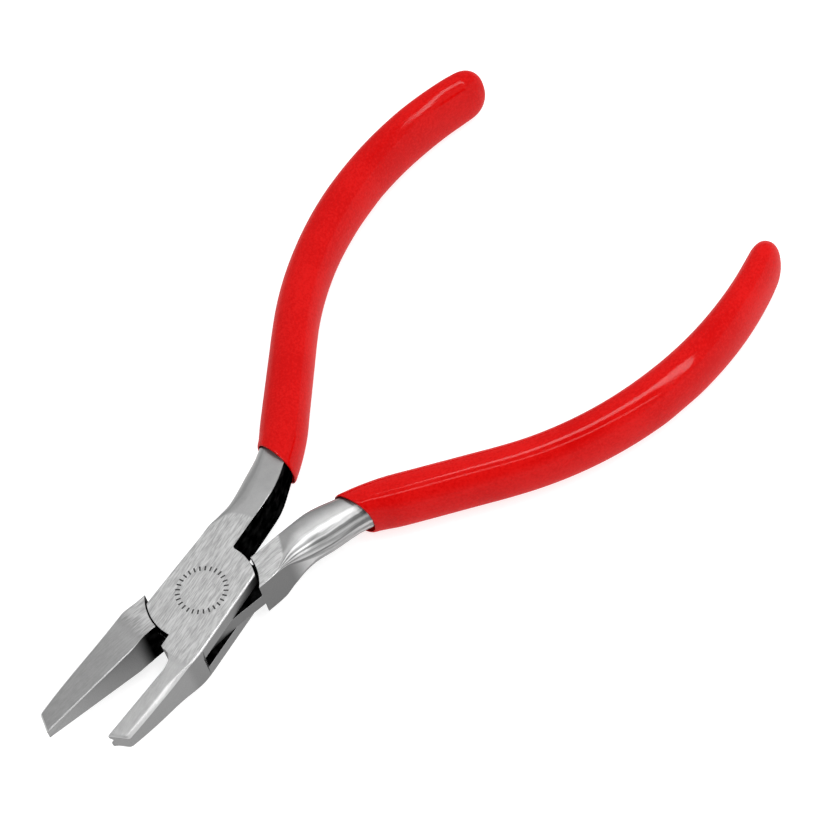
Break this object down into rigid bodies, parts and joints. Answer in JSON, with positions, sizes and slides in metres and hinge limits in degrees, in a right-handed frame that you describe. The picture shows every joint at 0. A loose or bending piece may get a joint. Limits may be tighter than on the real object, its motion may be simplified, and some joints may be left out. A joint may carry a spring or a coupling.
{
  "type": "crimping pliers",
  "caption": "Box-joint hand pliers with tapered smooth jaws, a flush rivet and bowed handles in red dipped sleeves, standing open.",
  "frame": {"origin": "on the pivot axis, level with the flat underside of the box joint", "axes": "+X halfway between the open jaws towards their tips, +Y towards the box half's jaw, +Z along the pivot axis, up from the underside"},
  "size_m": [0.1273, 0.0714, 0.0108],
  "materials": {
    "box_half_steel": "ground along the tool, jaw faces and neck satin",
    "tongue_half_steel": "ground sides, polished neck, dark forged tongue faces",
    "rivet_steel": "ground flush with the cheeks",
    "box_grip_vinyl": "glossy dipped vinyl",
    "tongue_grip_vinyl": "glossy dipped vinyl"
  },
  "bodies": {
    "box_side": {"box_half": "box_half_steel", "rivet": "rivet_steel", "box_half_grip": "box_grip_vinyl"},
    "tongue_side": {"tongue_half": "tongue_half_steel", "tongue_half_grip": "tongue_grip_vinyl"}
  },
  "joints": [
    {"name": "jaw_pivot", "type": "hinge", "parent": "box_side", "child": "tongue_side", "pos_m": [0, 0, 0.0035], "axis": [0, 0, -1], "range_deg": [-16.5, 14]}
  ]
}
